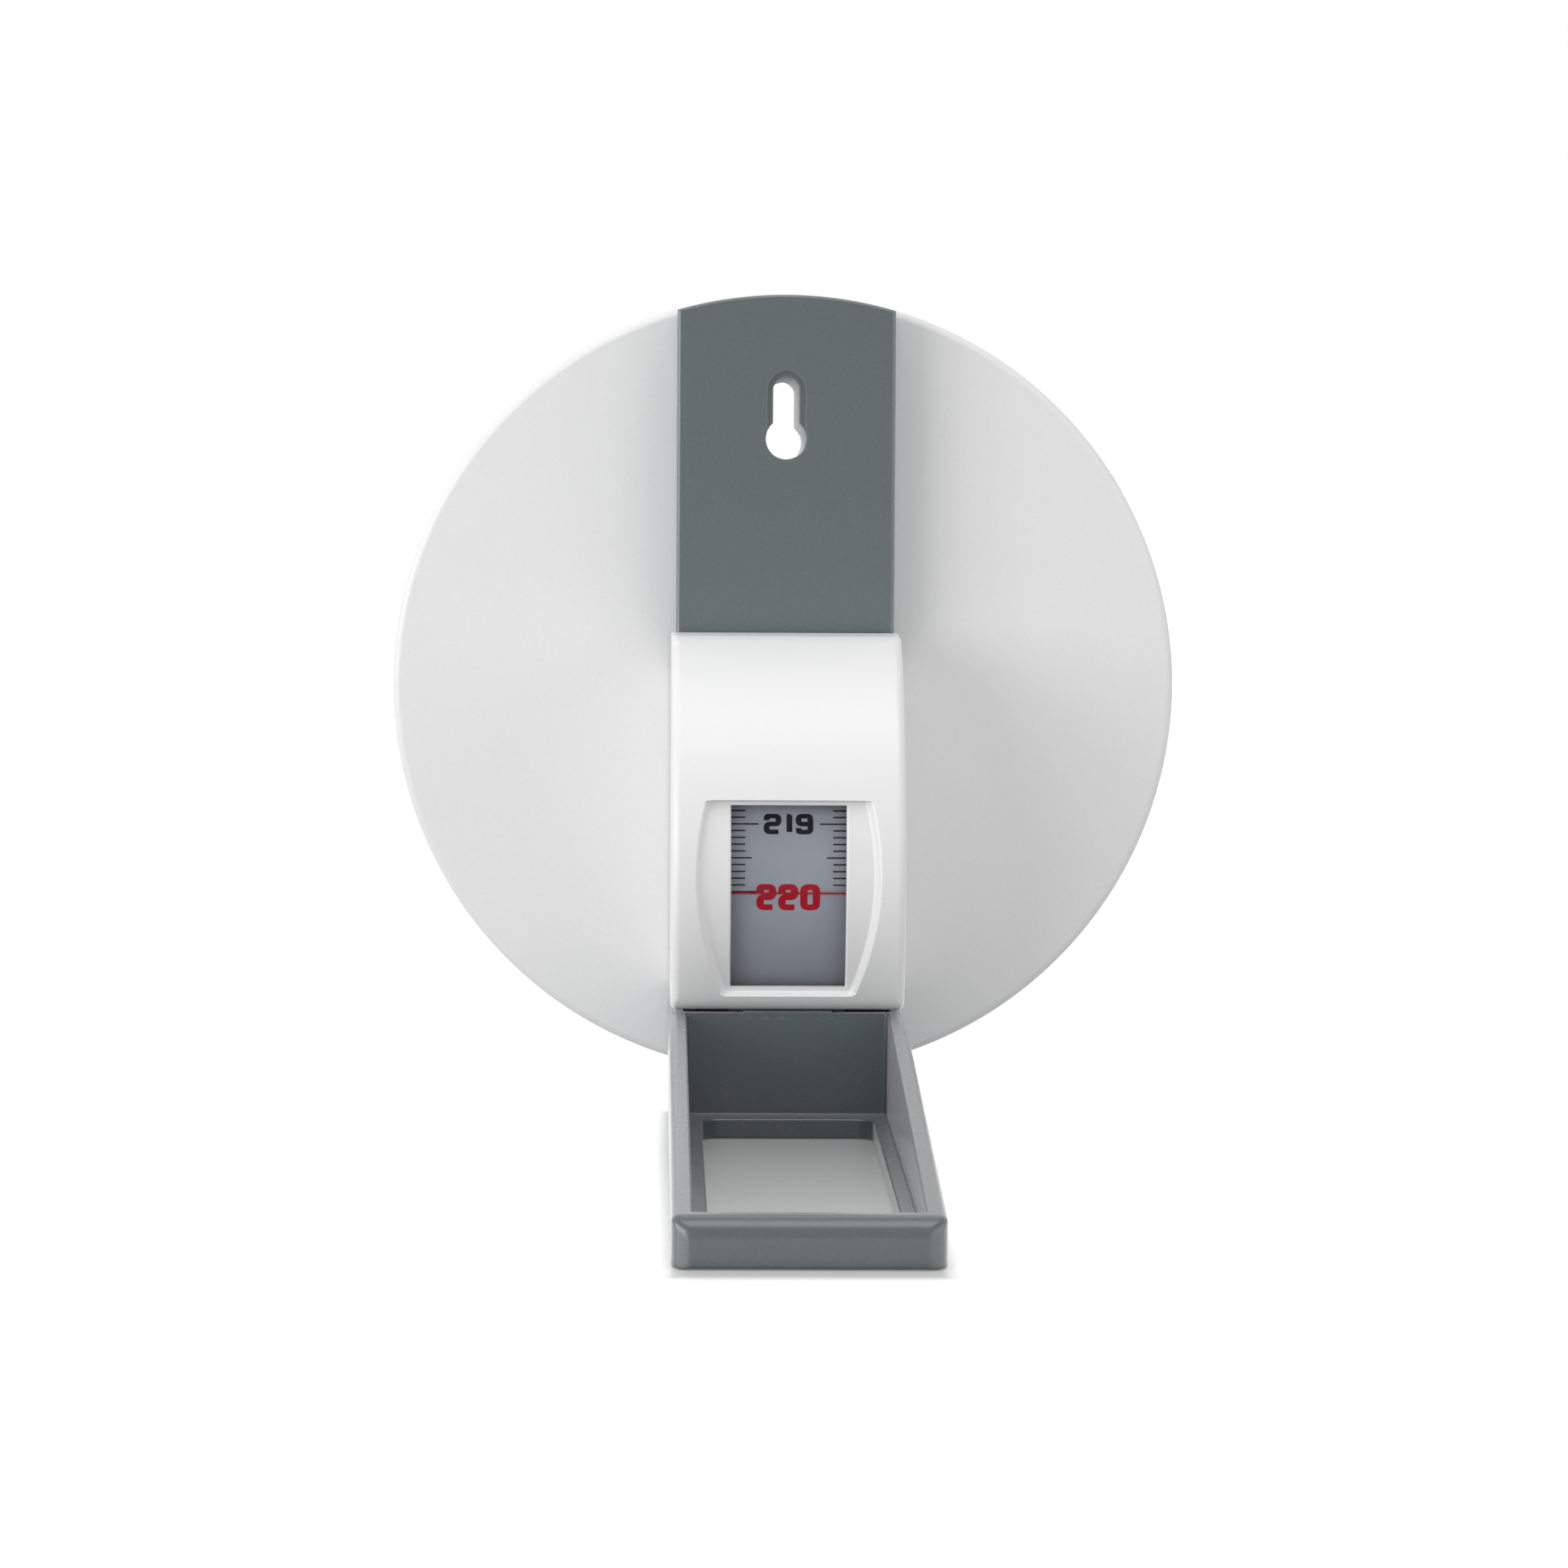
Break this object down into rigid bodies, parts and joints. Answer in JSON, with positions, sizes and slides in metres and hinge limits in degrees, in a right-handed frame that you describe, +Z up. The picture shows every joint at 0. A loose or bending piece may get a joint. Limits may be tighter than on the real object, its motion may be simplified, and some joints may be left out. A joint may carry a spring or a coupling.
{
  "type": "wall-mounted stadiometer with a roll-up tape",
  "caption": "Roll-up height measure: round wall plate, sliding head with a curved reading window, spring-wound steel tape and a flat tray-shaped measuring tongue.",
  "frame": {"origin": "centre of the wall plate's back face, which lies on the wall", "axes": "+Y into the wall, +Z up the wall, +X to the right as seen from in front"},
  "size_m": [0.12, 0.1614, 0.1245],
  "materials": {
    "plate_white": "satin moulded, light gray-white",
    "cover_white": "fine satin moulded, white",
    "frame_gray": "fine eroded texture, blue-gray",
    "inner_dark": "plain moulded, dark gray",
    "window_clear": "clear, polished",
    "tape_enamel": "white enamel on spring steel, printed in millimetres",
    "steel": "zinc-plated",
    "brass": "turned"
  },
  "bodies": {
    "wall": {"wall_plate": "plate_white", "tape_end_clamp": "steel", "clamp_screw_left": "steel", "clamp_screw_right": "steel", "tape_back_run": "tape_enamel"},
    "head": {"head_frame": "frame_gray", "case_cover": "cover_white", "window_lens": "window_clear", "cover_screw_left": "steel", "cover_screw_right": "steel", "reel_frame": "inner_dark", "frame_screw_1": "steel", "frame_screw_2": "steel", "frame_screw_3": "steel", "frame_screw_4": "steel", "reel_axle": "steel", "axle_ring_left": "steel", "axle_ring_right": "steel", "spring_arbor": "brass", "mainspring": "steel", "tape_window_run": "tape_enamel", "roller_pin": "steel", "roller_spacer_left": "inner_dark", "roller_spacer_right": "inner_dark"},
    "reel": {"reel_drum": "inner_dark", "reel_cap": "inner_dark", "reel_bush_left": "brass", "reel_bush_right": "brass", "tape_coil": "tape_enamel"},
    "roller": {"guide_roller": "inner_dark"}
  },
  "joints": [
    {"name": "head_slide", "type": "slide", "parent": "wall", "child": "head", "axis": [0, 0, -1], "range_m": [0, 2.2], "stiffness_N_per_m": 0.6, "springref_m": -4, "deforming": ["tape_back_run"]},
    {"name": "reel_spin", "type": "hinge", "parent": "head", "child": "reel", "pos_m": [0, -0.0251, -0.0172], "axis": [1, 0, 0], "range_deg": [0, 10200]},
    {"name": "roller_spin", "type": "hinge", "parent": "head", "child": "roller", "pos_m": [0, -0.0142, -0.05337], "axis": [1, 0, 0], "range_deg": [0, 14050]}
  ],
  "couplings": [
    {"joint": "reel_spin", "follows": "head_slide", "rad_per_m": 80.65},
    {"joint": "roller_spin", "follows": "head_slide", "rad_per_m": 111.1}
  ]
}
